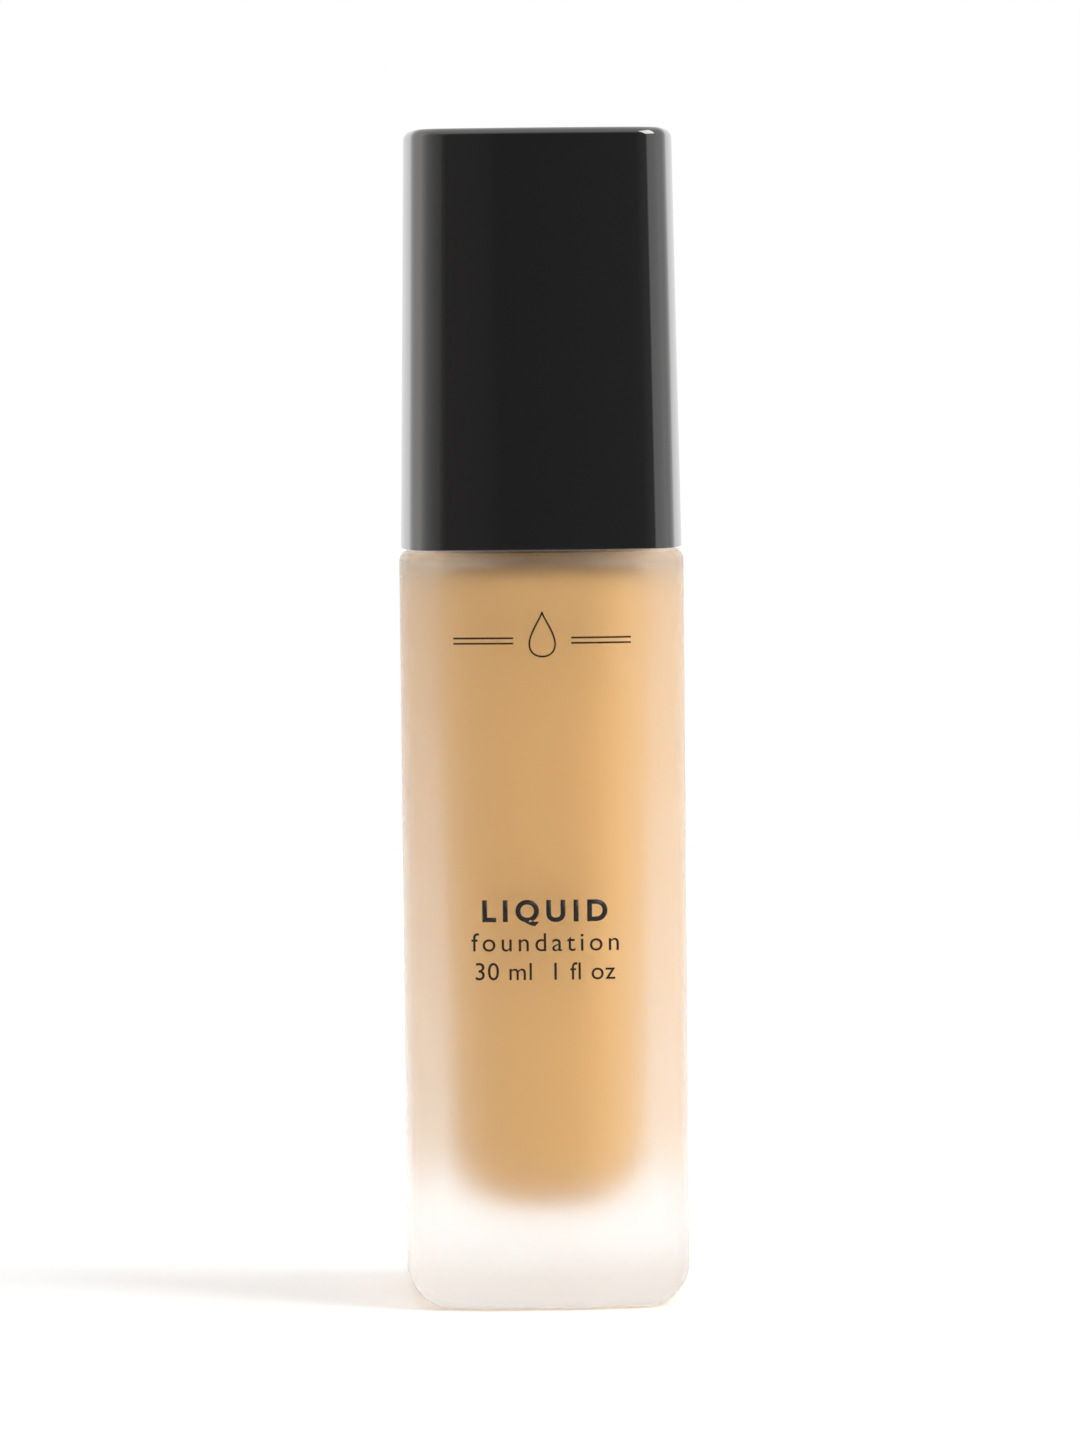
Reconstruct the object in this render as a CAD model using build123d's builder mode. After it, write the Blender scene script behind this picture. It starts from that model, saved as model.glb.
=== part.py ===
from build123d import *
import os
from math import atan2, degrees, sqrt

os.makedirs("parts", exist_ok=True)

# A foundation bottle: frosted glass, a treatment pump in its neck, and a tall square overcap.
# Millimetres. +Z is up, the origin is the centre of the base, and the front faces -Y.

# Glass bottle
bottle_half = 15.0
bottle_bow = 57.0
bottle_corner = 4.0
heel_radius = 3.2
shoulder_z = 79.0
shoulder_radius = 1.2
punt_radius = 8.5
punt_depth = 0.6

# Space inside the glass
cavity_bottom_half = 10.3
cavity_top_half = 12.2
cavity_bow = 53.6
cavity_corner = 9.0
cavity_floor_z = 9.6
cavity_ceiling_z = 77.7
cavity_bottom_radius = 7.0
cavity_top_radius = 2.0

# Room left in the liquid around the pump's housing and dip tube
pump_room = 0.15
tube_room = 0.3

# Neck and its screw thread
neck_radius = 7.8
neck_bore_radius = 5.5
neck_top_z = 91.9
neck_root_radius = 0.8
neck_rim_radius = 0.5
thread_pitch = 3.175
neck_thread_crest = 8.85
neck_thread_z = 84.2
neck_thread_turns = 1.5
closure_thread_turns = 1.25
thread_root_half = 0.78
thread_crest_half = 0.45
thread_bite = 0.3

# Screw closure and the sleeve over it
closure_radius = 10.2
closure_bore_radius = 9.15
closure_thread_crest = 8.15
closure_bottom_z = 79.6
closure_plate = 1.4
closure_hole_radius = 4.95
sleeve_radius = 11.0
sleeve_bore_radius = 10.25
sleeve_lip = 1.0
sleeve_lip_radius = 8.9
sleeve_edge_radius = 0.45

# Pump housing, gasket and retainer
gasket_thickness = 1.0
gasket_margin = 0.1
flange_thickness = 1.2
flange_radius = 8.0
flange_z = neck_top_z + gasket_thickness
flange_top_z = flange_z + flange_thickness
barrel_radius = 4.7
barrel_bore_radius = 3.9
barrel_bottom_z = 66.0
spring_seat_z = 66.5
spigot_top_z = 95.8
tail_radius = 2.5
tail_top_z = 60.5
tail_bottom_z = 54.0
retainer_bottom_z = 88.5
retainer_flange_radius = 6.2
retainer_flange = 1.0
retainer_chamfer = 0.3
guide_clearance = 0.08
vent_radius = 0.4
vent_z = 89.5

# Ball valve at the foot of the housing
ball_radius = 1.5
ball_z = 63.0
ball_pocket_radius = 1.9
seat_bottom_z = 61.8
seat_hole_radius = 1.0
tube_stop_z = 61.0
nib_z = 65.6
nib_height = 0.7
nib_length = 1.0
nib_width = 0.6
nib_centre_radius = 1.75

# Dip tube
tube_radius = 1.5
tube_bore_radius = 1.0
tube_socket_radius = 1.55
tube_bottom_z = 10.5

# Stem, plug, piston and spring
stem_radius = 2.25
stem_bore_radius = 1.3
stem_bottom_z = 78.2
stem_top_z = 107.3
stem_stop_radius = 3.2
stem_stop_z = 85.35
port_z = 81.6
port_radius = 0.6
plug_radius = 3.05
plug_bottom_z = 76.9
plug_shank_top_z = 80.8
piston_top_z = 84.5
piston_seal_z = 83.0
piston_lip = 0.9
piston_waist = 0.45
piston_clearance = 0.06
piston_recess = 0.35
spring_pilot = 1.0
spring_pilot_radius = 2.0
fit_gap = 0.05
wire_radius = 0.3
spring_radius = 2.5
spring_turns = 7
spring_end_gap = 0.02

# Actuator
actuator_radius = 8.4
actuator_bottom_z = 100.6
actuator_top_z = 112.6
actuator_wall = 1.0
actuator_ceiling_z = 111.3
core_radius = 3.6
core_bottom_z = 101.6
spout_z = 109.4
spout_radius = 1.9
spout_reach = 10.4
spout_bore_radius = 0.9
spout_tip_radius = 0.3
dish_radius = 40.0
dish_depth = 0.6
button_edge_radius = 0.5

# Overcap
cap_bottom_half = 14.8
cap_top_half = 14.1
cap_bottom_z = 79.3
cap_top_z = 122.95
cap_wall = 1.5
cap_corner = bottle_corner
cap_top_radius = 0.9
cap_ceiling_z = cap_top_z - 1.6
liner_radius = 12.05
liner_grip_radius = 11.08
liner_bore_radius = 11.45
liner_bottom_z = 80.3
liner_grip_top_z = 95.5
liner_flange = 1.2
liner_top = 1.0
rib_width = 1.2
rib_reach = 15.3
liner_lead_in = 0.4
liner_lead_height = 0.8
liner_step = 0.5
liner_side_gap = 0.08


# A square whose sides bow outwards by a large radius and whose corners are rounded, all tangent.
def bowed_square(half, bow, corner):
    back = bow - half
    corner_centre = (sqrt(2 * (bow - corner) ** 2 - back**2) - back) / 2
    half_angle = degrees(atan2(corner_centre, corner_centre + back))
    with BuildLine() as outline:
        for side in range(4):
            face_angle = 90 * side
            face_centre = Vector(-back, 0).rotate(Axis.Z, face_angle)
            CenterArc(face_centre, bow, face_angle - half_angle, 2 * half_angle)
            arc_centre = Vector(corner_centre, corner_centre).rotate(Axis.Z, face_angle)
            CenterArc(arc_centre, corner, face_angle + half_angle, 90 - 2 * half_angle)
    make_face(outline.edges())


# A closed outline in the XZ plane turned about Z, given as (radius, height) points.
def turned(points, mode=Mode.ADD):
    with BuildSketch(Plane.XZ) as profile:
        with BuildLine():
            Polyline(*points, close=True)
        make_face()
    revolve(profile.sketch, axis=Axis.Z, mode=mode)


# A helical ridge of trapezoid section that stands on a wall at root_radius and ends at crest_radius.
def thread_ridge(root_radius, crest_radius, start_z, turns):
    outward = 1 if crest_radius > root_radius else -1
    depth = abs(crest_radius - root_radius)
    with BuildLine() as helix:
        Helix(thread_pitch, turns * thread_pitch, root_radius, center=(0, 0, start_z))
    section_plane = Plane(origin=helix.line @ 0, x_dir=(1, 0, 0), z_dir=helix.line % 0)
    with BuildSketch(section_plane) as section:
        with BuildLine():
            Polyline(
                (-outward * thread_bite, -thread_root_half),
                (0, -thread_root_half),
                (outward * depth, -thread_crest_half),
                (outward * depth, thread_crest_half),
                (0, thread_root_half),
                (-outward * thread_bite, thread_root_half),
                close=True,
            )
        make_face()
    sweep(section.sketch, path=helix.line, is_frenet=True)


# The space inside the glass below the neck, made smaller all round by the gap. It narrows downwards.
def cavity_body(gap):
    sections = []
    for height, half in (
        (cavity_floor_z + gap, cavity_bottom_half - gap),
        (cavity_ceiling_z - gap, cavity_top_half - gap),
    ):
        with BuildSketch(Plane.XY.offset(height)) as section:
            bowed_square(half, cavity_bow - gap, cavity_corner - gap)
        sections.append(section.sketch)
    body = loft(sections, ruled=True)
    fillet(body.edges().group_by(Axis.Z)[0], cavity_bottom_radius - gap)
    fillet(body.edges().group_by(Axis.Z)[-1], cavity_top_radius - gap)


# The space inside the bottle: body and neck bore
with BuildPart() as cavity:
    cavity_body(0)
    with BuildSketch(Plane.XY.offset(cavity_ceiling_z)):
        Circle(neck_bore_radius)
    extrude(amount=neck_top_z - cavity_ceiling_z)
    bore_mouth = cavity.edges().filter_by(GeomType.CIRCLE).group_by(Axis.Z)[-2]
    fillet(bore_mouth, neck_root_radius)

# Glass bottle with its threaded neck and a shallow push-up under the base
with BuildPart() as glass_bottle:
    with BuildSketch():
        bowed_square(bottle_half, bottle_bow, bottle_corner)
    extrude(amount=shoulder_z)
    fillet(glass_bottle.edges().group_by(Axis.Z)[0], heel_radius)
    fillet(glass_bottle.edges().group_by(Axis.Z)[-1], shoulder_radius)
    with BuildSketch(Plane.XY.offset(shoulder_z)):
        Circle(neck_radius)
    extrude(amount=neck_top_z - shoulder_z)
    neck_edges = glass_bottle.edges().filter_by(GeomType.CIRCLE).filter_by(
        lambda edge: abs(edge.radius - neck_radius) < 0.01
    )
    fillet(neck_edges.sort_by(Axis.Z)[0], neck_root_radius)
    fillet(neck_edges.sort_by(Axis.Z)[-1], neck_rim_radius)
    thread_ridge(neck_radius, neck_thread_crest, neck_thread_z, neck_thread_turns)
    add(cavity.part, mode=Mode.SUBTRACT)
    punt_sphere = (punt_radius**2 + punt_depth**2) / (2 * punt_depth)
    with Locations((0, 0, punt_depth - punt_sphere)):
        Sphere(punt_sphere, mode=Mode.SUBTRACT)
glass_bottle.part.label = "glass_bottle"
export_step(glass_bottle.part, "parts/glass_bottle.step")

# Liquid foundation, with room for the housing and the dip tube that stand in it
with BuildPart() as foundation_fill:
    cavity_body(fit_gap)
    turned(
        [
            (0, tube_bottom_z - tube_room),
            (tube_radius + pump_room, tube_bottom_z - tube_room),
            (tube_radius + pump_room, tail_bottom_z - pump_room),
            (tail_radius + pump_room, tail_bottom_z - pump_room),
            (tail_radius + pump_room, tail_top_z - pump_room),
            (barrel_radius + pump_room, barrel_bottom_z - pump_room),
            (barrel_radius + pump_room, cavity_ceiling_z),
            (0, cavity_ceiling_z),
        ],
        mode=Mode.SUBTRACT,
    )
foundation_fill.part.label = "foundation_fill"
export_step(foundation_fill.part, "parts/foundation_fill.step")

# Screw closure: an internally threaded cap with a hole for the pump
with BuildPart() as screw_closure:
    closure_top_z = flange_top_z + closure_plate
    turned(
        [
            (closure_bore_radius, closure_bottom_z),
            (closure_radius, closure_bottom_z),
            (closure_radius, closure_top_z),
            (closure_hole_radius, closure_top_z),
            (closure_hole_radius, flange_top_z),
            (closure_bore_radius, flange_top_z),
        ]
    )
    closure_thread_z = neck_thread_z - thread_pitch / 2
    thread_ridge(closure_bore_radius, closure_thread_crest, closure_thread_z, closure_thread_turns)
screw_closure.part.label = "screw_closure"
export_step(screw_closure.part, "parts/screw_closure.step")

# Bright sleeve over the closure, with a lip that rests on the closure's top
with BuildPart() as collar_sleeve:
    turned(
        [
            (sleeve_bore_radius, closure_bottom_z),
            (sleeve_radius, closure_bottom_z),
            (sleeve_radius, closure_top_z + sleeve_lip),
            (sleeve_lip_radius, closure_top_z + sleeve_lip),
            (sleeve_lip_radius, closure_top_z),
            (sleeve_bore_radius, closure_top_z),
        ]
    )
    fillet(collar_sleeve.edges().group_by(Axis.Z)[-1].sort_by(SortBy.RADIUS)[-1], sleeve_edge_radius)
collar_sleeve.part.label = "collar_sleeve"
export_step(collar_sleeve.part, "parts/collar_sleeve.step")

# Washer between the neck's rim and the pump's flange
with BuildPart() as neck_gasket:
    with BuildSketch(Plane.XY.offset(neck_top_z)):
        Circle(neck_radius - gasket_margin)
        Circle(barrel_radius + gasket_margin, mode=Mode.SUBTRACT)
    extrude(amount=gasket_thickness)
neck_gasket.part.label = "neck_gasket"
export_step(neck_gasket.part, "parts/neck_gasket.step")

# Pump housing: flange, barrel, ball seat and a tail that holds the dip tube
with BuildPart() as pump_housing:
    seat_top_z = seat_bottom_z + ball_pocket_radius - seat_hole_radius
    turned(
        [
            (barrel_bore_radius, spigot_top_z),
            (barrel_radius, spigot_top_z),
            (barrel_radius, flange_top_z),
            (flange_radius, flange_top_z),
            (flange_radius, flange_z),
            (barrel_radius, flange_z),
            (barrel_radius, barrel_bottom_z),
            (tail_radius, tail_top_z),
            (tail_radius, tail_bottom_z),
            (tube_socket_radius, tail_bottom_z),
            (tube_socket_radius, tube_stop_z),
            (seat_hole_radius, tube_stop_z),
            (seat_hole_radius, seat_bottom_z),
            (ball_pocket_radius, seat_top_z),
            (ball_pocket_radius, spring_seat_z),
            (barrel_bore_radius, spring_seat_z),
        ]
    )
    # Three nibs keep the ball in its pocket
    with BuildSketch(Plane.XY.offset(nib_z)):
        with PolarLocations(nib_centre_radius, 3):
            Rectangle(nib_length, nib_width)
    extrude(amount=nib_height)
    # Vent that lets air in as the liquid goes down
    with BuildSketch(Plane.YZ.offset(barrel_bore_radius - vent_radius)):
        with Locations((0, vent_z)):
            Circle(vent_radius)
    extrude(amount=barrel_radius, mode=Mode.SUBTRACT)
pump_housing.part.label = "pump_housing"
export_step(pump_housing.part, "parts/pump_housing.step")

# Dip tube, cut at a slant at its foot
with BuildPart() as dip_tube:
    with BuildSketch(Plane.XY.offset(tube_bottom_z)):
        Circle(tube_radius)
        Circle(tube_bore_radius, mode=Mode.SUBTRACT)
    extrude(amount=tube_stop_z - tube_bottom_z)
    slant = Plane(origin=(0, 0, tube_bottom_z + tube_radius), z_dir=(1, 0, 1))
    split(bisect_by=slant, keep=Keep.TOP)
dip_tube.part.label = "dip_tube"
export_step(dip_tube.part, "parts/dip_tube.step")

# Retainer that snaps into the housing and guides the stem
with BuildPart() as retainer_ring:
    guide_radius = stem_radius + guide_clearance
    turned(
        [
            (guide_radius, retainer_bottom_z),
            (barrel_bore_radius - fit_gap, retainer_bottom_z),
            (barrel_bore_radius - fit_gap, spigot_top_z),
            (retainer_flange_radius, spigot_top_z),
            (retainer_flange_radius, spigot_top_z + retainer_flange),
            (guide_radius, spigot_top_z + retainer_flange),
        ]
    )
    chamfer(retainer_ring.edges().group_by(Axis.Z)[-1], retainer_chamfer)
retainer_ring.part.label = "retainer_ring"
export_step(retainer_ring.part, "parts/retainer_ring.step")

# Hollow stem with a stop collar and two cross ports
with BuildPart() as stem:
    turned(
        [
            (stem_bore_radius, stem_bottom_z),
            (stem_radius, stem_bottom_z),
            (stem_radius, stem_stop_z),
            (stem_stop_radius, stem_stop_z),
            (stem_stop_radius, retainer_bottom_z),
            (stem_radius, retainer_bottom_z),
            (stem_radius, stem_top_z),
            (stem_bore_radius, stem_top_z),
        ]
    )
    with BuildSketch(Plane.YZ):
        with Locations((0, port_z)):
            Circle(port_radius)
    extrude(amount=stem_stop_radius, both=True, mode=Mode.SUBTRACT)
stem.part.label = "stem"
export_step(stem.part, "parts/stem.step")

# Plug in the stem's foot: the piston's seat above, the spring's pilot below
with BuildPart() as stem_plug:
    turned(
        [
            (0, plug_bottom_z - spring_pilot),
            (spring_pilot_radius, plug_bottom_z - spring_pilot),
            (spring_pilot_radius, plug_bottom_z),
            (plug_radius, plug_bottom_z),
            (plug_radius, stem_bottom_z),
            (stem_bore_radius - fit_gap, stem_bottom_z),
            (stem_bore_radius - fit_gap, plug_shank_top_z),
            (0, plug_shank_top_z),
        ]
    )
stem_plug.part.label = "stem_plug"
export_step(stem_plug.part, "parts/stem_plug.step")

# Piston with a lip at each end, free to slip a little along the stem
with BuildPart() as piston:
    lip_radius = barrel_bore_radius - piston_clearance
    waist_radius = lip_radius - piston_waist
    recess_radius = stem_radius + piston_recess
    seal_radius = stem_radius + fit_gap
    turned(
        [
            (recess_radius, stem_bottom_z),
            (lip_radius, stem_bottom_z),
            (lip_radius, stem_bottom_z + piston_lip),
            (waist_radius, stem_bottom_z + 2 * piston_lip),
            (waist_radius, piston_top_z - 2 * piston_lip),
            (lip_radius, piston_top_z - piston_lip),
            (lip_radius, piston_top_z),
            (seal_radius, piston_top_z),
            (seal_radius, piston_seal_z),
            (recess_radius, piston_seal_z),
        ]
    )
piston.part.label = "piston"
export_step(piston.part, "parts/piston.step")

# Steel return spring between the housing's seat and the plug
with BuildPart() as return_spring:
    coil_bottom_z = spring_seat_z + wire_radius + spring_end_gap
    coil_height = plug_bottom_z - wire_radius - spring_end_gap - coil_bottom_z
    with BuildLine() as coil:
        Helix(coil_height / spring_turns, coil_height, spring_radius, center=(0, 0, coil_bottom_z))
    with BuildSketch(Plane(origin=coil.line @ 0, z_dir=coil.line % 0)):
        Circle(wire_radius)
    sweep(path=coil.line, is_frenet=True)
return_spring.part.label = "return_spring"
export_step(return_spring.part, "parts/return_spring.step")

# Inlet valve ball
with BuildPart() as inlet_ball:
    with Locations((0, 0, ball_z)):
        Sphere(ball_radius)
inlet_ball.part.label = "inlet_ball"
export_step(inlet_ball.part, "parts/inlet_ball.step")

# Actuator core: socket on the stem, cross channel and spout
with BuildPart() as actuator_core:
    turned(
        [
            (stem_radius + fit_gap, core_bottom_z),
            (core_radius, core_bottom_z),
            (core_radius, actuator_ceiling_z),
            (0, actuator_ceiling_z),
            (0, stem_top_z),
            (stem_radius + fit_gap, stem_top_z),
        ]
    )
    with BuildSketch(Plane.XZ):
        with Locations((0, spout_z)):
            Circle(spout_radius)
    extrude(amount=spout_reach)
    fillet(actuator_core.edges().group_by(Axis.Y)[0], spout_tip_radius)
    with BuildSketch(Plane.XZ):
        with Locations((0, spout_z)):
            Circle(spout_bore_radius)
    extrude(amount=spout_reach, mode=Mode.SUBTRACT)
    with BuildSketch(Plane.XY.offset(stem_top_z)):
        Circle(spout_bore_radius)
    extrude(amount=spout_z - stem_top_z, mode=Mode.SUBTRACT)
actuator_core.part.label = "actuator_core"
export_step(actuator_core.part, "parts/actuator_core.step")

# Actuator shell: a round button with a finger dish and a hole for the spout
with BuildPart() as actuator_shell:
    inner_radius = actuator_radius - actuator_wall
    turned(
        [
            (inner_radius, actuator_bottom_z),
            (actuator_radius, actuator_bottom_z),
            (actuator_radius, actuator_top_z),
            (0, actuator_top_z),
            (0, actuator_ceiling_z),
            (inner_radius, actuator_ceiling_z),
        ]
    )
    with Locations((0, 0, actuator_top_z + dish_radius - dish_depth)):
        Sphere(dish_radius, mode=Mode.SUBTRACT)
    fillet(actuator_shell.edges().group_by(Axis.Z)[-1], button_edge_radius)
    with BuildSketch(Plane.XZ):
        with Locations((0, spout_z)):
            Circle(spout_radius + fit_gap)
    extrude(amount=spout_reach, mode=Mode.SUBTRACT)
actuator_shell.part.label = "actuator_shell"
export_step(actuator_shell.part, "parts/actuator_shell.step")


# Half-width of the overcap's outside at a height: it narrows evenly towards the top.
def cap_half(height):
    climb = (height - cap_bottom_z) / (cap_top_z - cap_bottom_z)
    return cap_bottom_half + (cap_top_half - cap_bottom_half) * climb


# Tapered square block between two heights, set in from the overcap's outside.
def cap_block(bottom_z, top_z, inset, mode=Mode.ADD):
    sections = []
    for height in (bottom_z, top_z):
        with BuildSketch(Plane.XY.offset(height)) as section:
            bowed_square(cap_half(height) - inset, bottle_bow - inset, cap_corner - inset)
        sections.append(section.sketch)
    loft(sections, ruled=True, mode=mode)


# Overcap shell, glossy and square like the bottle, with a slight draft
with BuildPart() as overcap_shell:
    cap_block(cap_bottom_z, cap_top_z, 0)
    fillet(overcap_shell.edges().group_by(Axis.Z)[-1], cap_top_radius)
    cap_block(cap_bottom_z, cap_ceiling_z, cap_wall, mode=Mode.SUBTRACT)
overcap_shell.part.label = "overcap_shell"
export_step(overcap_shell.part, "parts/overcap_shell.step")

# Overcap liner: a round cup that grips the collar, held in the shell by a flange and corner ribs
with BuildPart() as overcap_liner:
    with BuildSketch(Plane.XY.offset(liner_bottom_z)):
        flange_half = cap_half(liner_bottom_z) - cap_wall - liner_side_gap
        bowed_square(flange_half, bottle_bow - cap_wall, cap_corner - cap_wall)
    extrude(amount=liner_flange)
    with BuildSketch(Plane.XY.offset(liner_bottom_z)):
        Circle(liner_radius)
        for angle in (45, 135):
            Rectangle(2 * rib_reach, rib_width, rotation=angle)
    extrude(amount=cap_ceiling_z - liner_bottom_z)
    turned(
        [
            (0, liner_bottom_z),
            (liner_grip_radius + liner_lead_in, liner_bottom_z),
            (liner_grip_radius, liner_bottom_z + liner_lead_height),
            (liner_grip_radius, liner_grip_top_z),
            (liner_bore_radius, liner_grip_top_z + liner_step),
            (liner_bore_radius, cap_ceiling_z - liner_top),
            (0, cap_ceiling_z - liner_top),
        ],
        mode=Mode.SUBTRACT,
    )
overcap_liner.part.label = "overcap_liner"
export_step(overcap_liner.part, "parts/overcap_liner.step")
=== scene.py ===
import bpy
import math
from mathutils import Matrix, Vector


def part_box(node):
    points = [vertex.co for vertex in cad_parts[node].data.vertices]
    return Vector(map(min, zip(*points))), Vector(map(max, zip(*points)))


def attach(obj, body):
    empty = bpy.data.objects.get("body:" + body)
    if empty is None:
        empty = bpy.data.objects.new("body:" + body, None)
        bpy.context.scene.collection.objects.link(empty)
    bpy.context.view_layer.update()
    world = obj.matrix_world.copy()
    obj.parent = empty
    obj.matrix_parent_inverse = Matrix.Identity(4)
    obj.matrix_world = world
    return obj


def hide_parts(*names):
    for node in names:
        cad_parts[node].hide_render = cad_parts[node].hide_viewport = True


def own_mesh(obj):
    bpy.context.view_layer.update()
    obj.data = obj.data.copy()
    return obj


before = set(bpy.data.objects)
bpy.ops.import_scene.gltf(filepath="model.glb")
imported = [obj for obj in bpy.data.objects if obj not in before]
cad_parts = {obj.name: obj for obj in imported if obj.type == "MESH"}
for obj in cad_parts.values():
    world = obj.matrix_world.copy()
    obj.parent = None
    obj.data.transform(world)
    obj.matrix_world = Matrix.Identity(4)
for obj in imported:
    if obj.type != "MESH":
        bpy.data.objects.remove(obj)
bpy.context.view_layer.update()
mm = 0.001


# One sRGB hex colour as linear values for a shader socket.
def linearColour(hexColour):
    channels = []
    for start in (0, 2, 4):
        value = int(hexColour[start:start + 2], 16) / 255
        channels.append(value / 12.92 if value <= 0.04045 else ((value + 0.055) / 1.055) ** 2.4)
    return (*channels, 1.0)


# Adds a node with its settings, and links sources to its inputs or fills them with values.
def addNode(tree, kind, settings=None, inputs=None):
    node = tree.nodes.new(kind)
    for name, value in (settings or {}).items():
        setattr(node, name, value)
    for name, value in (inputs or {}).items():
        socket = node.inputs[name]
        if isinstance(value, bpy.types.NodeSocket):
            tree.links.new(value, socket)
        else:
            socket.default_value = value
    return node


# A new material with a Principled shader whose constants are set on its own sockets.
def newMaterial(name, constants):
    material = bpy.data.materials.new(name)
    material.use_nodes = True
    tree = material.node_tree
    shader = tree.nodes["Principled BSDF"]
    for socket, value in constants.items():
        shader.inputs[socket].default_value = value
    place = addNode(tree, "ShaderNodeTexCoord")
    return material, tree, shader, place.outputs["Object"]


# Links a bump to the shader's normal: a pattern of heights, and how deep it is in metres.
def addBump(tree, shader, pattern, depth):
    bump = addNode(tree, "ShaderNodeBump", inputs={"Height": pattern, "Distance": depth})
    tree.links.new(bump.outputs["Normal"], shader.inputs["Normal"])


sharpAngle = math.radians(35)  # edges that turn more than this are drawn sharp


# A smooth-shaded piece of the object that rides on a body.
def newMesh(name, points, faces, body, material):
    mesh = bpy.data.meshes.new(name)
    mesh.from_pydata(points, [], faces)
    mesh.validate()
    mesh.shade_smooth()
    mesh.set_sharp_from_angle(angle=sharpAngle)
    piece = bpy.data.objects.new(name, mesh)
    bpy.context.scene.collection.objects.link(piece)
    mesh.materials.append(material)
    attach(piece, body)
    return piece


# How finely the bowed square's sides and corners are drawn, and its least corner.
outline = {"sideSteps": 20, "cornerSteps": 14, "leastCorner": 0.05}


# Points round a bowed square, anticlockwise, tangent all the way. All sizes in millimetres.
def bowedSquare(half, bow, corner):
    back = bow - half
    cornerCentre = (math.sqrt(2 * (bow - corner) ** 2 - back ** 2) - back) / 2
    sideAngle = math.atan2(cornerCentre, cornerCentre + back)
    points = []
    for side in range(4):
        turn = side * math.pi / 2
        local = []
        for step in range(outline["sideSteps"]):
            angle = sideAngle * (2 * step / outline["sideSteps"] - 1)
            local.append((bow * math.cos(angle) - back, bow * math.sin(angle)))
        for step in range(outline["cornerSteps"]):
            angle = sideAngle + (math.pi / 2 - 2 * sideAngle) * step / outline["cornerSteps"]
            local.append((cornerCentre + corner * math.cos(angle), cornerCentre + corner * math.sin(angle)))
        for x, y in local:
            points.append((x * math.cos(turn) - y * math.sin(turn), x * math.sin(turn) + y * math.cos(turn)))
    return points


# The bowed square at a height, set in from its outline.
def squareRing(section, inset, height):
    half, bow, corner = (size - inset for size in section)
    corner = max(corner, outline["leastCorner"])
    return [(x * mm, y * mm, height * mm) for x, y in bowedSquare(half, bow, corner)]


# A circle whose points stand at the same angles as the bowed square's.
def roundRing(section, radius, height):
    ring = []
    for x, y in bowedSquare(*section):
        reach = math.hypot(x, y)
        ring.append((x / reach * radius * mm, y / reach * radius * mm, height * mm))
    return ring


# Skins a list of rings, and closes both ends with a fan to the centre.
def skinRings(rings):
    count = len(rings[0])
    points = [point for ring in rings for point in ring]
    faces = []
    for level in range(len(rings) - 1):
        for step in range(count):
            here, there = level * count + step, level * count + (step + 1) % count
            faces.append((here, there, there + count, here + count))
    for level, order in ((0, -1), (len(rings) - 1, 1)):
        centre = len(points)
        points.append((0.0, 0.0, rings[level][0][2]))
        for step in range(count):
            pair = (level * count + step, level * count + (step + 1) % count)
            faces.append((*pair[::order], centre))
    return points, faces


# Skins a run of small rings into a rod, such as a wire or a thread's ridge, with flat ends.
def skinRod(rings):
    count = len(rings[0])
    points = [point for ring in rings for point in ring]
    faces = []
    for level in range(len(rings) - 1):
        for step in range(count):
            here, there = level * count + step, level * count + (step + 1) % count
            faces.append((here, here + count, there + count, there))
    faces.append(tuple(range(count)))
    faces.append(tuple(reversed(range(len(points) - count, len(points)))))
    return points, faces


# (inset, height) pairs round a quarter circle, from the wall (inset 0) to the flat (inset = radius).
def quarterRound(radius, steps, wallHeight, upwards):
    path = []
    for step in range(steps + 1):
        angle = math.pi / 2 * step / steps
        path.append((radius * (1 - math.cos(angle)), wallHeight + upwards * radius * math.sin(angle)))
    return path


# Heights read from the frame, in millimetres.
def nodeTop(node):
    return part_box(node)[1].z / mm


def nodeBottom(node):
    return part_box(node)[0].z / mm


# Sizes in millimetres. A section is half the width, the radius of the bowed side, and of the corner.
bottle = {
    "section": (15.0, 57.0, 4.0),
    "heel": 3.2,
    "shoulder": 1.2,
    "shoulderHeight": 79.0,
    "puntRadius": 8.5,
    "puntDepth": 0.6,
    "neckRadius": 7.8,
    "neckRoot": 0.8,
    "neckRim": 0.5,
    "neckTop": nodeTop("glass_bottle"),
    "bore": 5.5,
    "threadCrest": 8.85,
    "threadHeight": 84.2,
    "threadPitch": 3.175,
    "threadTurns": 1.5,
}

cavity = {
    "bottomSection": (10.3, 53.6, 9.0),
    "topHalf": 12.2,
    "floor": 9.6,
    "ceiling": 77.7,
    "bottomRound": 7.0,
    "topRound": 2.0,
}

cap = {
    "bottomSection": (14.8, 57.0, 4.0),
    "topHalf": 14.1,
    "bottom": nodeBottom("overcap_shell"),
    "top": nodeTop("overcap_shell"),
    "wall": 1.5,
    "ceiling": 1.6,
    "edge": 0.9,
    "lip": 0.05,
    "crownInset": 2.7,
}

support = 0.06  # a ring this far from each rounding keeps the shading of the flats flat

# How many steps each rounding takes.
roundSteps = {
    "punt": 8,
    "heel": 10,
    "shoulder": 8,
    "neck": 6,
    "cavityTop": 8,
    "cavityBottom": 16,
    "capEdge": 12,
    "capLip": 5,
}


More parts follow.
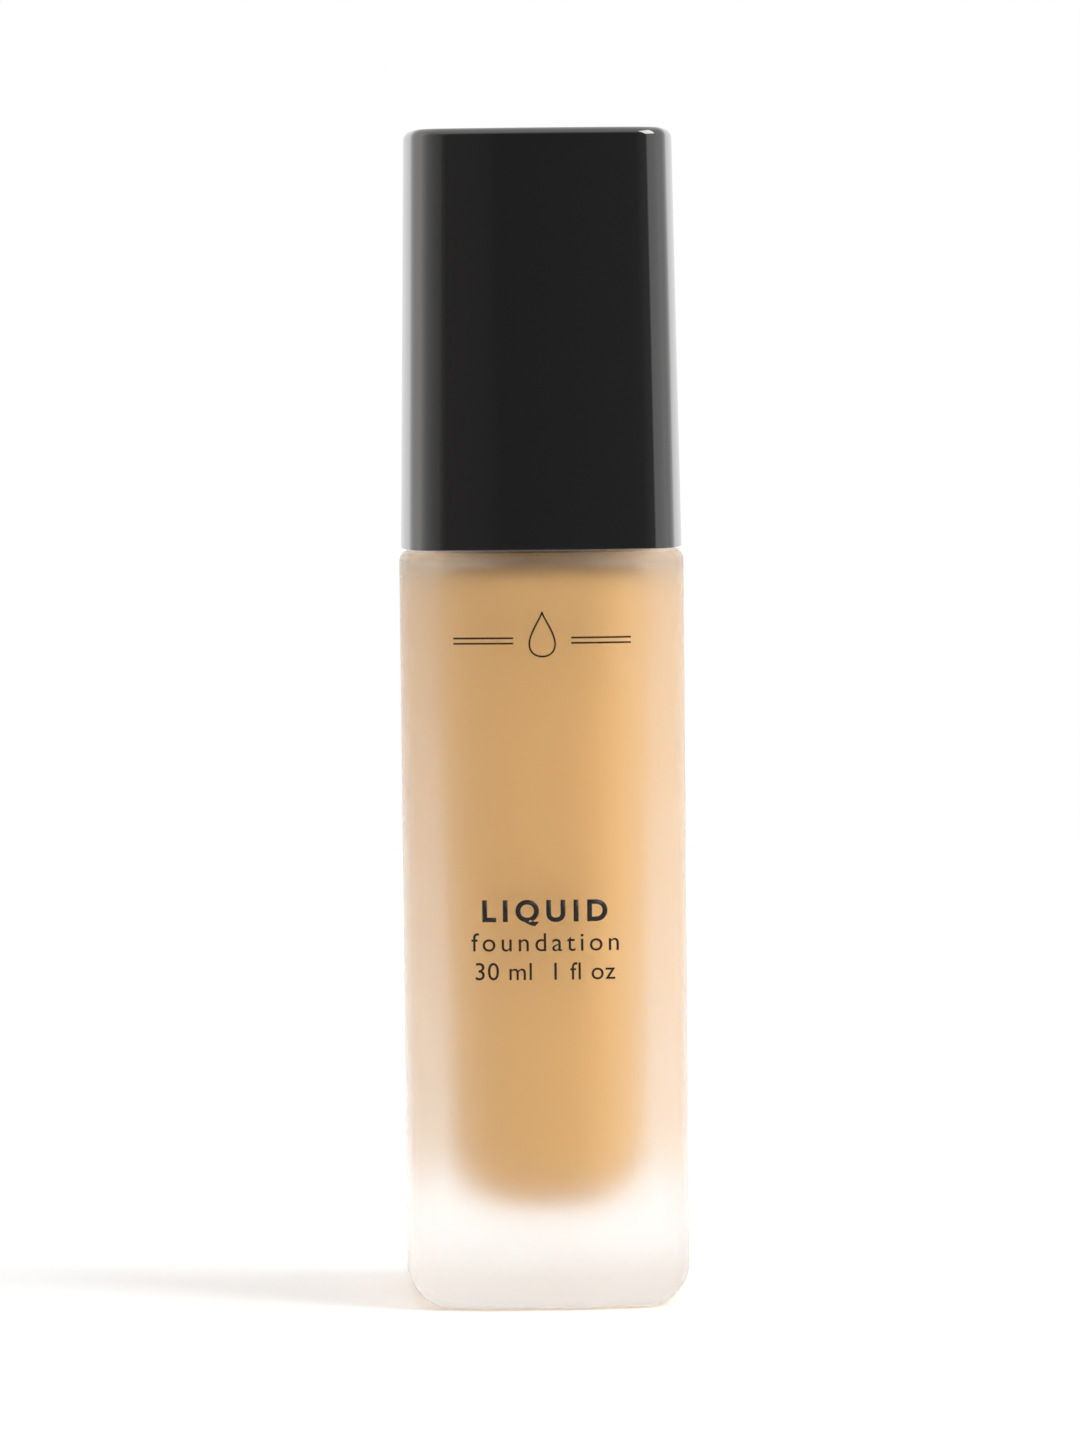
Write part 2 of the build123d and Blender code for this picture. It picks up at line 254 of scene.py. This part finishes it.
# Acid-etched soda-lime glass: an even satin skin that blurs what stands behind it.
def etchedGlass():
    material, tree, shader, place = newMaterial("acid-etched glass", {
        "Base Color": linearColour("FBFBFB"), "IOR": 1.5, "Transmission Weight": 1.0})
    # The etch is not quite even: patches about 6 mm wide are a little more open.
    patches = addNode(tree, "ShaderNodeTexNoise", inputs={
        "Vector": place, "Scale": 1 / (6 * mm), "Detail": 3.0})
    rough = addNode(tree, "ShaderNodeMapRange", inputs={
        "Value": patches.outputs["Fac"], "From Min": 0.3, "From Max": 0.7,
        "To Min": 0.72, "To Max": 0.78})
    tree.links.new(rough.outputs["Result"], shader.inputs["Roughness"])
    # The frosting's grit is about 0.05 mm: drawn at 0.12 mm, so that it shows.
    grit = addNode(tree, "ShaderNodeTexNoise", inputs={
        "Vector": place, "Scale": 1 / (0.12 * mm), "Detail": 1.0})
    addBump(tree, shader, grit.outputs["Fac"], 0.004 * mm)
    return material


# Liquid foundation: a dense cream of pigment in oil and water, opaque, with a soft wet sheen.
def foundationCream():
    material, tree, shader, place = newMaterial("foundation cream", {
        "IOR": 1.42, "Roughness": 0.35, "Specular IOR Level": 0.3})
    # Slow swirls about 18 mm wide, left from filling, a shade lighter and darker.
    swirl = addNode(tree, "ShaderNodeTexNoise", inputs={
        "Vector": place, "Scale": 1 / (18 * mm), "Detail": 2.0, "Distortion": 0.6})
    tones = addNode(tree, "ShaderNodeMix", {"data_type": "RGBA"}, {
        0: swirl.outputs["Fac"], 6: linearColour("CFA366"), 7: linearColour("D4A96B")})
    tree.links.new(tones.outputs[2], shader.inputs["Base Color"])
    return material


# Black ABS, moulded and polished: deep black with sharp lights and a trace of orange peel. Under a
# clear lacquer its lights are twice as strong.
def blackGloss(name, lacquer):
    material, tree, shader, place = newMaterial(name, {
        "Base Color": linearColour("0B0A0A"), "IOR": 1.54,
        "Coat Weight": lacquer, "Coat Roughness": 0.02})
    # Handling dulls it a little, in smears about 9 mm wide.
    wear = addNode(tree, "ShaderNodeTexNoise", inputs={
        "Vector": place, "Scale": 1 / (9 * mm), "Detail": 4.0})
    rough = addNode(tree, "ShaderNodeMapRange", inputs={
        "Value": wear.outputs["Fac"], "From Min": 0.35, "From Max": 0.75,
        "To Min": 0.02, "To Max": 0.045})
    tree.links.new(rough.outputs["Result"], shader.inputs["Roughness"])
    # Orange peel about 2.5 mm from crest to crest.
    peel = addNode(tree, "ShaderNodeTexNoise", inputs={
        "Vector": place, "Scale": 1 / (2.5 * mm), "Detail": 1.0})
    addBump(tree, shader, peel.outputs["Fac"], 0.0015 * mm)
    return material


# The pump's small moulded pieces, mostly polypropylene and polyethylene: waxy, slightly clouded,
# with a fine spark-eroded grain. The glass ball shares it, as a clear and smooth piece.
def mouldedPiece(name, colour, roughness, clear=0.0):
    material, tree, shader, place = newMaterial(name, {
        "IOR": 1.49, "Roughness": roughness, "Transmission Weight": clear})
    # Clouds about 4 mm wide, up to an eighth lighter than the colour.
    paler = 1.12
    base = linearColour(colour)
    cloud = addNode(tree, "ShaderNodeTexNoise", inputs={
        "Vector": place, "Scale": 1 / (4 * mm), "Detail": 3.0})
    tint = addNode(tree, "ShaderNodeMix", {"data_type": "RGBA"}, {
        0: cloud.outputs["Fac"], 6: base, 7: tuple(min(1.0, channel * paler) for channel in base)})
    tree.links.new(tint.outputs[2], shader.inputs["Base Color"])
    # The grain is about 0.05 mm: drawn at 0.25 mm, so that it shows.
    grain = addNode(tree, "ShaderNodeTexNoise", inputs={
        "Vector": place, "Scale": 1 / (0.25 * mm), "Detail": 2.0})
    addBump(tree, shader, grain.outputs["Fac"], 0.004 * mm)
    return material


# Drawn stainless spring wire: bright metal, duller in spots about 0.2 mm wide where the die marked it.
def springWire():
    material, tree, shader, place = newMaterial("drawn stainless wire", {
        "Base Color": linearColour("B9BAB8"), "Metallic": 1.0})
    marks = addNode(tree, "ShaderNodeTexNoise", inputs={
        "Vector": place, "Scale": 1 / (0.2 * mm), "Detail": 2.0})
    rough = addNode(tree, "ShaderNodeMapRange", inputs={
        "Value": marks.outputs["Fac"], "To Min": 0.18, "To Max": 0.36})
    tree.links.new(rough.outputs["Result"], shader.inputs["Roughness"])
    return material


# Screen-printed ink: a warm near-black with a satin surface, thinner in patches about 0.3 mm wide.
def screenInk():
    material, tree, shader, place = newMaterial("screen-printed ink", {
        "IOR": 1.5, "Roughness": 0.45, "Specular IOR Level": 0.3})
    density = addNode(tree, "ShaderNodeTexNoise", inputs={
        "Vector": place, "Scale": 1 / (0.3 * mm), "Detail": 2.0})
    tone = addNode(tree, "ShaderNodeMix", {"data_type": "RGBA"}, {
        0: density.outputs["Fac"], 6: linearColour("0E0A09"), 7: linearColour("181211")})
    tree.links.new(tone.outputs[2], shader.inputs["Base Color"])
    return material


# Painted studio floor: plain, pale and matt, with a mottle about 40 mm wide that hardly shows.
def studioFloor():
    material, tree, shader, place = newMaterial("matt white floor", {
        "Roughness": 0.9, "Specular IOR Level": 0.0})
    mottle = addNode(tree, "ShaderNodeTexNoise", inputs={
        "Vector": place, "Scale": 1 / (40 * mm), "Detail": 2.0})
    tone = addNode(tree, "ShaderNodeMix", {"data_type": "RGBA"}, {
        0: mottle.outputs["Fac"], 6: linearColour("F1F1F1"), 7: linearColour("F3F3F3")})
    tree.links.new(tone.outputs[2], shader.inputs["Base Color"])
    return material


glass = etchedGlass()
cream = foundationCream()
lacqueredAbs = blackGloss("lacquered black ABS", 1.0)
mouldedAbs = blackGloss("polished black ABS", 0.0)
blackPlastic = mouldedPiece("moulded black polypropylene", "141414", 0.42)
clearPlastic = mouldedPiece("natural polypropylene", "E4E6E3", 0.38, clear=0.35)
sealPlastic = mouldedPiece("natural polyethylene", "EEEEE9", 0.5)
gasketFoam = mouldedPiece("foamed polyethylene", "F2F2EE", 0.75)
ballGlass = mouldedPiece("borosilicate ball glass", "DFE6E4", 0.08, clear=0.9)
wire = springWire()
ink = screenInk()
print("materials made")


# The outline of the space inside the glass at a height: it narrows downwards.
def cavityRing(inset, height, grow=0.0):
    climb = (height - cavity["floor"]) / (cavity["ceiling"] - cavity["floor"])
    bottomHalf, bow, corner = cavity["bottomSection"]
    half = bottomHalf + (cavity["topHalf"] - bottomHalf) * climb
    return squareRing((half + grow, bow + grow, corner + grow), inset, height)


# Rings from the cavity's ceiling down its wall to its floor.
def cavityWall(grow=0.0):
    ceiling, floor = cavity["ceiling"] + grow, cavity["floor"] - grow
    topRound, bottomRound = cavity["topRound"] + grow, cavity["bottomRound"] + grow
    rings = [cavityRing(topRound + support, ceiling, grow)]
    top = quarterRound(topRound, roundSteps["cavityTop"], ceiling - topRound, 1)
    bottom = quarterRound(bottomRound, roundSteps["cavityBottom"], floor + bottomRound, -1)
    for inset, height in list(reversed(top)) + bottom:
        rings.append(cavityRing(inset, height, grow))
    return rings


# One skin all over: up the outside, over the neck's rim and down the inside.
def makeGlassBottle():
    section = bottle["section"]
    top = bottle["shoulderHeight"]
    rings = []
    puntSphere = (bottle["puntRadius"] ** 2 + bottle["puntDepth"] ** 2) / (2 * bottle["puntDepth"])
    for step in range(roundSteps["punt"]):
        radius = bottle["puntRadius"] * (step + 1) / roundSteps["punt"]
        rise = math.sqrt(puntSphere ** 2 - radius ** 2) - (puntSphere - bottle["puntDepth"])
        rings.append(roundRing(section, radius, rise))
    rings.append(squareRing(section, bottle["heel"] + support, 0))
    heel = quarterRound(bottle["heel"], roundSteps["heel"], bottle["heel"], -1)
    for inset, height in reversed(heel):
        rings.append(squareRing(section, inset, height))
    rings.append(squareRing(section, 0, bottle["heel"] + support))
    rings.append(squareRing(section, 0, top - bottle["shoulder"] - support))
    shoulder = quarterRound(bottle["shoulder"], roundSteps["shoulder"], top - bottle["shoulder"], 1)
    for inset, height in shoulder:
        rings.append(squareRing(section, inset, height))
    rings.append(squareRing(section, bottle["shoulder"] + support, top))
    root, neck = bottle["neckRoot"], bottle["neckRadius"]
    for inset, height in reversed(quarterRound(root, roundSteps["neck"], top + root, -1)):
        rings.append(roundRing(section, neck + inset, height))
    neckTop, rim, bore = bottle["neckTop"], bottle["neckRim"], bottle["bore"]
    for inset, height in quarterRound(rim, roundSteps["neck"], neckTop - rim, 1):
        rings.append(roundRing(section, neck - inset, height))
    rings.append(roundRing(section, bore, neckTop))
    for inset, height in quarterRound(root, roundSteps["neck"], cavity["ceiling"] + root, -1):
        rings.append(roundRing(section, bore + inset, height))
    rings += cavityWall()
    points, faces = skinRings(rings)
    piece = newMesh("bottleGlass", points, faces, "bottle", glass)
    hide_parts("glass_bottle")


# The neck's thread is a rounded ridge. Its section is (share of the depth, share of the half width),
# and it rises out of the glass and sinks back into it over a share of its length at each end.
neckThread = {
    "base": 7.55,
    "halfWidth": 0.78,
    "fade": 0.12,
    "leastDepth": 0.15,
    "steps": 110,
    "section": [
        (0.0, -1.0), (0.3, -1.0), (0.72, -0.72), (0.94, -0.42), (1.0, 0.0),
        (0.94, 0.42), (0.72, 0.72), (0.3, 1.0), (0.0, 1.0)],
}


def makeNeckThread():
    base, fade, least = neckThread["base"], neckThread["fade"], neckThread["leastDepth"]
    rings = []
    for step in range(neckThread["steps"] + 1):
        share = step / neckThread["steps"]
        angle = share * bottle["threadTurns"] * 2 * math.pi
        height = bottle["threadHeight"] + share * bottle["threadTurns"] * bottle["threadPitch"]
        rise = math.sin(min(1.0, share / fade, (1 - share) / fade) * math.pi / 2)
        depth = (bottle["threadCrest"] - base) * (least + (1 - least) * rise)
        ring = []
        for out, side in neckThread["section"]:
            radius = base + depth * out
            lift = height + side * neckThread["halfWidth"]
            ring.append((radius * math.cos(angle) * mm, radius * math.sin(angle) * mm, lift * mm))
        rings.append(ring)
    points, faces = skinRod(rings)
    newMesh("bottleNeckThread", points, faces, "bottle", glass)


# The cream meets the glass all round, so its skin stands a hair outside the cavity's wall.
# It leaves a channel for the pump: (radius, height) pairs up its side.
creamBody = {
    "overlap": 0.03,
    "channel": [(1.65, 10.2), (1.65, 53.85), (2.65, 53.85), (2.65, 60.35), (4.85, 65.85)],
}


def makeCream():
    overlap, section = creamBody["overlap"], bottle["section"]
    rings = [roundRing(section, radius, height) for radius, height in creamBody["channel"]]
    widest = creamBody["channel"][-1][0]
    rings.append(roundRing(section, widest, cavity["ceiling"] + overlap))
    rings += cavityWall(grow=overlap)
    points, faces = skinRings(rings)
    piece = newMesh("foundationCream", points, faces, "bottle", cream)
    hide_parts("foundation_fill")


makeGlassBottle()
makeNeckThread()
makeCream()
print("bottle made")


# The overcap's outline at a height: it narrows upwards.
def capRing(inset, height):
    climb = (height - cap["bottom"]) / (cap["top"] - cap["bottom"])
    bottomHalf, bow, corner = cap["bottomSection"]
    return squareRing((bottomHalf + (cap["topHalf"] - bottomHalf) * climb, bow, corner), inset, height)


def makeCapShell():
    bottom, top, wall = cap["bottom"], cap["top"], cap["wall"]
    edge, lip = cap["edge"], cap["lip"]
    inside = top - cap["ceiling"]
    rings = [capRing(cap["crownInset"], top), capRing(edge + support, top)]
    for inset, height in reversed(quarterRound(edge, roundSteps["capEdge"], top - edge, 1)):
        rings.append(capRing(inset, height))
    rings.append(capRing(0, top - edge - support))
    rings.append(capRing(0, bottom + lip + support))
    for inset, height in quarterRound(lip, roundSteps["capLip"], bottom + lip, -1):
        rings.append(capRing(inset, height))
    rings.append(capRing(wall - lip, bottom))
    rings.append(capRing(wall, bottom + lip))
    rings.append(capRing(wall, inside - support))
    rings.append(capRing(wall, inside))
    rings.append(capRing(wall + support, inside))
    points, faces = skinRings(rings)
    faces = [tuple(reversed(face)) for face in faces]  # these rings run down, so the faces turn over
    piece = newMesh("overcapShell", points, faces, "cap", lacqueredAbs)
    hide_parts("overcap_shell")


makeCapShell()
print("overcap made")


# Closed turns at each end lie almost against each other, and the turns between them are open.
spring = {
    "wire": 0.3,
    "radius": 2.5,
    "turns": 7.5,
    "closed": 0.75,
    "closedLead": 1.02,
    "steps": 40,
    "sides": 10,
}


# How far up the wire has climbed after some turns.
def springClimb(turn, length):
    closed, free = spring["closed"], spring["turns"] - 2 * spring["closed"]
    lead = 2 * spring["wire"] * spring["closedLead"]
    climb = min(turn, closed) * lead
    climb += min(max(turn - closed, 0), free) / free * (length - 2 * closed * lead)
    climb += max(turn - closed - free, 0) * lead
    return climb


def makeSpring():
    low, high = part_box("return_spring")
    thick = spring["wire"]
    bottomZ, topZ = low.z / mm + thick, high.z / mm - thick
    rings = []
    for step in range(int(spring["turns"] * spring["steps"]) + 1):
        turn = step / spring["steps"]
        angle = turn * 2 * math.pi
        out = Vector((math.cos(angle), math.sin(angle), 0))
        centre = out * spring["radius"] + Vector((0, 0, bottomZ + springClimb(turn, topZ - bottomZ)))
        ring = []
        for side in range(spring["sides"]):
            around = side / spring["sides"] * 2 * math.pi
            point = centre + out * thick * math.cos(around) + Vector((0, 0, thick * math.sin(around)))
            ring.append(tuple(point * mm))
        rings.append(ring)
    points, faces = skinRod(rings)
    piece = newMesh("returnSpring", points, faces, "pump", wire)
    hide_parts("return_spring")
    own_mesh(piece)


makeSpring()
print("spring made")


# The frame's own pieces that stay, and their finishes.
finishes = {
    "overcap_liner": blackPlastic,
    "collar_sleeve": mouldedAbs,
    "screw_closure": blackPlastic,
    "neck_gasket": gasketFoam,
    "pump_housing": clearPlastic,
    "dip_tube": clearPlastic,
    "retainer_ring": clearPlastic,
    "stem": clearPlastic,
    "stem_plug": sealPlastic,
    "piston": sealPlastic,
    "inlet_ball": ballGlass,
    "actuator_core": blackPlastic,
    "actuator_shell": mouldedAbs,
}
for nodeName, finish in finishes.items():
    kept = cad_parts[nodeName]
    for index in range(len(kept.material_slots)):
        kept.material_slots[index].material = finish
print("frame pieces finished")


# The print's lines, from the top. Bold is how far the outlines swell, in units of the font.
printed = {
    "lines": [
        {"name": "printHeading", "words": "LIQUID",
         "height": 2.2, "width": 13.0, "base": 40.85, "bold": 0.034},
        {"name": "printProduct", "words": "foundation",
         "height": 1.9, "width": 15.3, "base": 37.7, "bold": 0.0},
        {"name": "printVolume", "words": "30 ml  1 fl oz",
         "height": 1.8, "width": 14.5, "base": 34.7, "bold": 0.0},
    ],
    "centre": -0.15,
    "thickness": 0.02,
    "clearance": 0.004,
    "curveSteps": 8,
}


# Depth of the bottle's front, in metres, at a distance from its middle.
def frontDepth(x):
    half, bow = bottle["section"][:2]
    return (bow - half) * mm - math.sqrt((bow * mm) ** 2 - x ** 2)


# Lays a flat printed shape, given in X and Z, on the front of the glass.
def layOnFront(mesh):
    for vertex in mesh.vertices:
        vertex.co.y = frontDepth(vertex.co.x) - printed["clearance"] * mm
    mesh.update()


# A line of print as a flat mesh, in units of the font, with its letters set apart by the spacing.
def setType(line, spacing):
    curve = bpy.data.curves.new(line["name"], "FONT")
    curve.body = line["words"]
    curve.resolution_u = printed["curveSteps"]
    curve.offset = line["bold"]
    curve.space_character = spacing
    temporary = bpy.data.objects.new(line["name"] + "Curve", curve)
    bpy.context.scene.collection.objects.link(temporary)
    bpy.context.view_layer.update()
    flat = bpy.data.meshes.new_from_object(temporary)
    bpy.data.objects.remove(temporary)
    xs = [vertex.co.x for vertex in flat.vertices]
    tall = max(vertex.co.y for vertex in flat.vertices)
    return flat, min(xs), max(xs), tall


# The letters keep their own proportions: only the space between them is opened to fill the width.
def printWords(line):
    flat, left, right, tall = setType(line, 1)
    tight = (right - left) / tall
    flat, left, right, tall = setType(line, 2)
    opened = (right - left) / tall
    wanted = line["width"] / line["height"]
    flat, left, right, tall = setType(line, 1 + (wanted - tight) / (opened - tight))
    scale = line["height"] * mm / tall
    middle = (left + right) / 2
    for vertex in flat.vertices:
        x, y = vertex.co.x, vertex.co.y
        vertex.co = ((x - middle) * scale + printed["centre"] * mm, 0, y * scale + line["base"] * mm)
    return flat


# Lays a flat print on the glass, gives it the ink's thickness and lets it ride on the bottle.
def finishPrint(name, mesh):
    layOnFront(mesh)
    piece = bpy.data.objects.new(name, mesh)
    bpy.context.scene.collection.objects.link(piece)
    mesh.materials.clear()
    mesh.materials.append(ink)
    thick = piece.modifiers.new("film", "SOLIDIFY")
    thick.thickness = printed["thickness"] * mm
    thick.offset = 0
    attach(piece, "bottle")


for line in printed["lines"]:
    finishPrint(line["name"], printWords(line))


# The emblem is a drop between two pairs of rules. The rules' lifts are shares of its height.
emblem = {
    "stroke": 0.18,
    "base": 68.3,
    "height": 4.6,
    "width": 18.4,
    "dropWidth": 0.42,
    "dropPoint": 1.6,
    "dropSteps": 64,
    "ruleStart": 3.0,
    "ruleLifts": (0.3, 0.42),
    "ruleSteps": 10,
}


# A line of ink of even width along a path of (x, z) points in millimetres.
def inkStroke(path, closed):
    half = emblem["stroke"] / 2
    count = len(path)
    points, faces = [], []
    for index, (x, z) in enumerate(path):
        before = path[index - 1] if closed or index else path[index]
        after = path[(index + 1) % count] if closed or index < count - 1 else path[index]
        along = Vector((after[0] - before[0], after[1] - before[1])).normalized()
        points.append(((x - along.y * half) * mm, 0, (z + along.x * half) * mm))
        points.append(((x + along.y * half) * mm, 0, (z - along.x * half) * mm))
    for index in range(count if closed else count - 1):
        here, there = 2 * index, 2 * ((index + 1) % count)
        faces.append((here, here + 1, there + 1, there))
    return points, faces


# A drop: a circle drawn in towards its tip, which is at the top.
def dropPath():
    base, height = emblem["base"], emblem["height"]
    path = []
    for step in range(emblem["dropSteps"]):
        angle = 2 * math.pi * step / emblem["dropSteps"]
        reach = height * emblem["dropWidth"] * math.sin(angle) * math.sin(angle / 2) ** emblem["dropPoint"]
        path.append((printed["centre"] + reach, base + height * (1 + math.cos(angle)) / 2))
    return path


def rulePath(side, lift):
    inner = printed["centre"] + side * emblem["ruleStart"]
    outer = printed["centre"] + side * emblem["width"] / 2
    height = emblem["base"] + emblem["height"] * lift
    steps = emblem["ruleSteps"]
    return [(inner + (outer - inner) * step / steps, height) for step in range(steps + 1)]


def makeEmblem():
    strokes = [(dropPath(), True)]
    for side in (-1, 1):
        for lift in emblem["ruleLifts"]:
            strokes.append((rulePath(side, lift), False))
    points, faces = [], []
    for path, closed in strokes:
        start = len(points)
        more, quads = inkStroke(path, closed)
        points += more
        faces += [tuple(start + index for index in quad) for quad in quads]
    mesh = bpy.data.meshes.new("printEmblem")
    mesh.from_pydata(points, [], faces)
    finishPrint("printEmblem", mesh)


makeEmblem()
print("print laid on the glass")


# Lengths in metres, the lens and its sensor in millimetres, angles in degrees.
studio = {
    "floorRings": (0.05, 0.15, 0.35, 0.6),
    "floorSides": 96,
    "floorDrop": 0.00002,
    "lens": 166.2,
    "sensor": 36,
    "nearest": 0.01,
    "cameraDistance": 0.7023,
    "cameraHeight": 0.1022,
    "tilt": 3.37,
    "pan": -0.025,
    "roll": -0.577,
    "turn": 0.6,
}


# A round floor, a hair below the bottle's base.
def makeFloor():
    count = studio["floorSides"]
    points = [(0.0, 0.0, 0.0)]
    for radius in studio["floorRings"]:
        for step in range(count):
            angle = 2 * math.pi * step / count
            points.append((radius * math.cos(angle), radius * math.sin(angle), 0.0))
    faces = [(0, 1 + step, 1 + (step + 1) % count) for step in range(count)]
    for level in range(len(studio["floorRings"]) - 1):
        for step in range(count):
            here, there = 1 + level * count + step, 1 + level * count + (step + 1) % count
            faces.append((here, here + count, there + count, there))
    mesh = bpy.data.meshes.new("studioFloor")
    mesh.from_pydata(points, [], faces)
    mesh.materials.append(studioFloor())
    floor = bpy.data.objects.new("studioFloor", mesh)
    floor.location.z = -studio["floorDrop"]
    bpy.context.scene.collection.objects.link(floor)


# A product studio: a dark room behind the camera, tall bright screens at both sides and a white
# sweep behind. Each step is degrees from the front, left negative, how bright it is there, and how
# warm. The light from overhead takes over between two heights, as shares of straight up.
surroundings = {
    "steps": [
        (-180, 0.8, 0), (-150, 0.78, 0), (-125, 1.0, 0), (-112, 1.3, 0.12), (-92, 1.7, 0.06),
        (-80, 1.3, 0), (-66, 0.9, 0), (-45, 0.62, 0), (-24, 0.45, 0.08), (-21.5, 0.2, 0.06),
        (-10, 0.16, 0.04), (-9, 0.125, 0), (20, 0.15, 0), (40, 0.24, 0), (55, 0.28, 0),
        (60, 1.1, 0), (100, 1.15, 0.03), (112, 0.9, 0), (125, 0.75, 0), (150, 0.75, 0), (180, 0.8, 0)],
    "brightest": 2.6,
    "overhead": 1.3,
    "overheadFrom": 0.5,
    "overheadTo": 0.9,
    "backdrop": 1.0,
}


def makeSurroundings():
    world = bpy.data.worlds.new("studio")
    bpy.context.scene.world = world
    world.use_nodes = True
    tree = world.node_tree
    tree.nodes.clear()
    place = addNode(tree, "ShaderNodeTexCoord")
    parts = addNode(tree, "ShaderNodeSeparateXYZ", inputs={"Vector": place.outputs["Generated"]})
    away = addNode(tree, "ShaderNodeMath", {"operation": "MULTIPLY"}, {
        0: parts.outputs["Y"], 1: -1.0})
    side = addNode(tree, "ShaderNodeMath", {"operation": "ARCTAN2"}, {
        0: parts.outputs["X"], 1: away.outputs[0]})
    turned = addNode(tree, "ShaderNodeMapRange", inputs={
        "Value": side.outputs[0], "From Min": -math.pi, "From Max": math.pi})
    walls = addNode(tree, "ShaderNodeValToRGB", inputs={"Fac": turned.outputs["Result"]})
    elements = walls.color_ramp.elements
    steps, brightest = surroundings["steps"], surroundings["brightest"]
    while len(elements) < len(steps):
        elements.new(0.5)  # each is moved to its own place below
    for index, (angle, level, warmth) in enumerate(steps):
        elements[index].position = (angle + 180) / 360
        share = level / brightest
        elements[index].color = (share, share * (1 - warmth / 2), share * (1 - warmth), 1)
    # The light from overhead is even.
    above = addNode(tree, "ShaderNodeMapRange", {"interpolation_type": "SMOOTHSTEP"}, {
        "Value": parts.outputs["Z"],
        "From Min": surroundings["overheadFrom"], "From Max": surroundings["overheadTo"]})
    high = surroundings["overhead"] / brightest
    level = addNode(tree, "ShaderNodeMix", {"data_type": "RGBA"}, {
        0: above.outputs["Result"], 6: walls.outputs["Color"], 7: (high, high, high, 1)})
    around = addNode(tree, "ShaderNodeBackground", inputs={
        "Color": level.outputs[2], "Strength": brightest})
    plain = addNode(tree, "ShaderNodeBackground", inputs={
        "Color": (1, 1, 1, 1), "Strength": surroundings["backdrop"]})
    path = addNode(tree, "ShaderNodeLightPath")
    choice = addNode(tree, "ShaderNodeMixShader", inputs={
        0: path.outputs["Is Camera Ray"], 1: around.outputs[0], 2: plain.outputs[0]})
    output = addNode(tree, "ShaderNodeOutputWorld")
    tree.links.new(choice.outputs[0], output.inputs["Surface"])


# A large soft panel, high on the right of the camera.
keyPanel = {
    "size": 0.66,
    "watts": 10,
    "place": (0.78, -0.25, 0.75),
    "aim": (0, 0, 0.05),
    "colour": "FFFEFD",
}


def makeKeyLight():
    light = bpy.data.lights.new("keyPanel", "AREA")
    light.shape = "SQUARE"
    light.size = keyPanel["size"]
    light.energy = keyPanel["watts"]
    light.color = linearColour(keyPanel["colour"])[:3]
    lamp = bpy.data.objects.new("keyPanel", light)
    lamp.location = keyPanel["place"]
    aim = Vector(keyPanel["aim"]) - lamp.location
    lamp.rotation_euler = aim.to_track_quat("-Z", "Y").to_euler()
    bpy.context.scene.collection.objects.link(lamp)


def makeCamera():
    tilt, pan = math.radians(studio["tilt"]), math.radians(studio["pan"] + studio["turn"])
    turn, roll = math.radians(studio["turn"]), math.radians(studio["roll"])
    distance = studio["cameraDistance"]
    place = Vector((-distance * math.sin(turn), -distance * math.cos(turn), studio["cameraHeight"]))
    forward = Vector((math.sin(pan) * math.cos(tilt), math.cos(pan) * math.cos(tilt), -math.sin(tilt)))
    right = Vector((math.cos(pan), -math.sin(pan), 0))
    up = right.cross(forward)
    rolledRight = right * math.cos(roll) + up * math.sin(roll)
    rolledUp = up * math.cos(roll) - right * math.sin(roll)
    camera = bpy.data.cameras.new("camera")
    camera.lens = studio["lens"]
    camera.sensor_width = studio["sensor"]
    camera.clip_start = studio["nearest"]
    holder = bpy.data.objects.new("camera", camera)
    columns = Matrix((rolledRight, rolledUp, -forward)).transposed().to_4x4()
    holder.matrix_world = Matrix.Translation(place) @ columns
    bpy.context.scene.collection.objects.link(holder)
    bpy.context.scene.camera = holder


makeFloor()
makeSurroundings()
makeKeyLight()
makeCamera()
bpy.context.scene.view_settings.view_transform = "Standard"
bpy.context.scene.view_settings.look = "None"
print("studio set")
